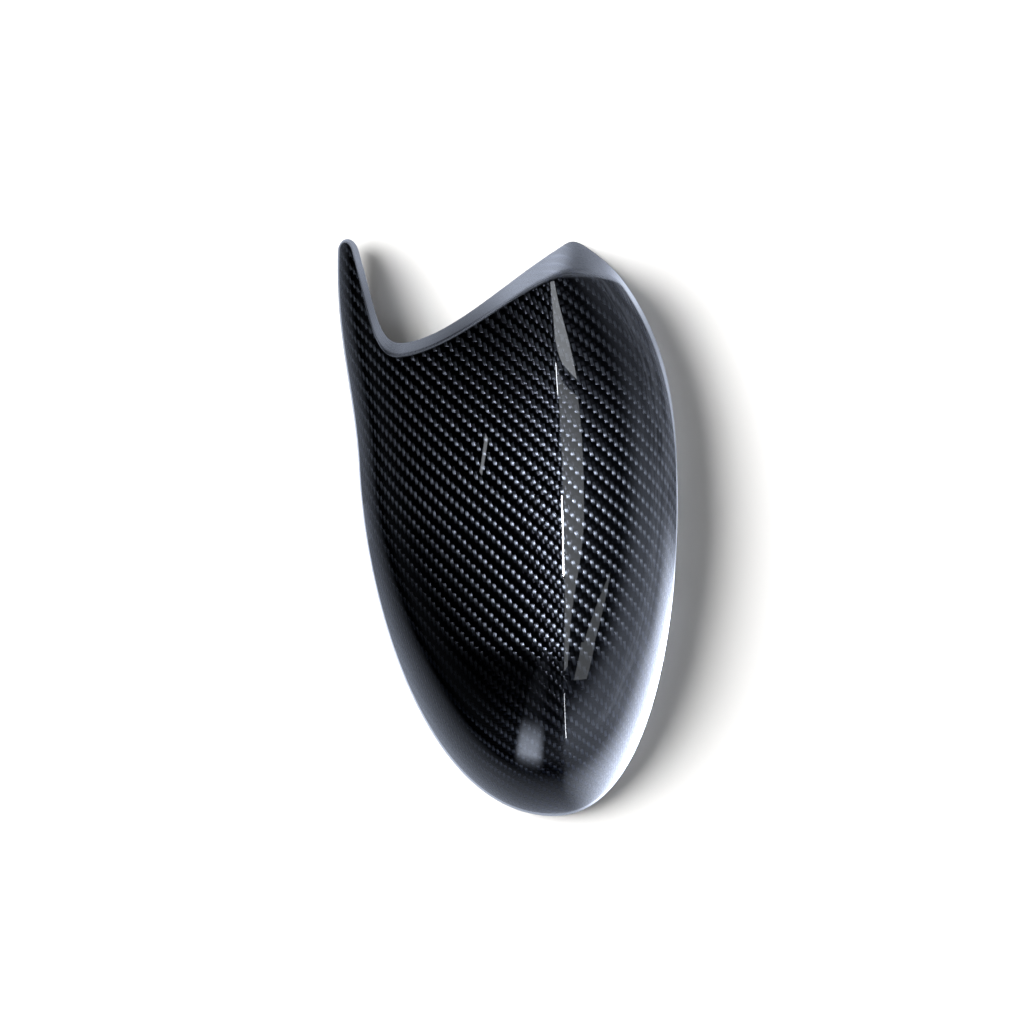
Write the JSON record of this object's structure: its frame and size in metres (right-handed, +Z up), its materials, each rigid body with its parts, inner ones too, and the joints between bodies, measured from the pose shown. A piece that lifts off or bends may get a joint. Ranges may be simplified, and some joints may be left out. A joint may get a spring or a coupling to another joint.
{
  "type": "wing mirror cover",
  "caption": "Carbon-fibre car wing mirror cover with a long horn, a notch and a crease along its face, and clip brackets bonded inside.",
  "frame": {"origin": "middle of the cover's outline, on the plane of its rim", "axes": "+Z up out of the open side through the face, +Y along the cover from the nose to the horn, +X from the horn side to the round side"},
  "size_m": [0.1451, 0.2463, 0.0837],
  "materials": {
    "gloss_carbon": "2x2 twill carbon fibre under a deep clear gloss coat",
    "clip_plastic": "black moulded plastic, fine satin texture"
  },
  "bodies": {
    "root": {"cover_shell": "gloss_carbon", "clip_horn_side_upper": "clip_plastic", "clip_horn_side_lower": "clip_plastic", "clip_round_side_upper": "clip_plastic", "clip_round_side_lower": "clip_plastic", "clip_peak": "clip_plastic", "clip_nose": "clip_plastic"}
  },
  "joints": []
}
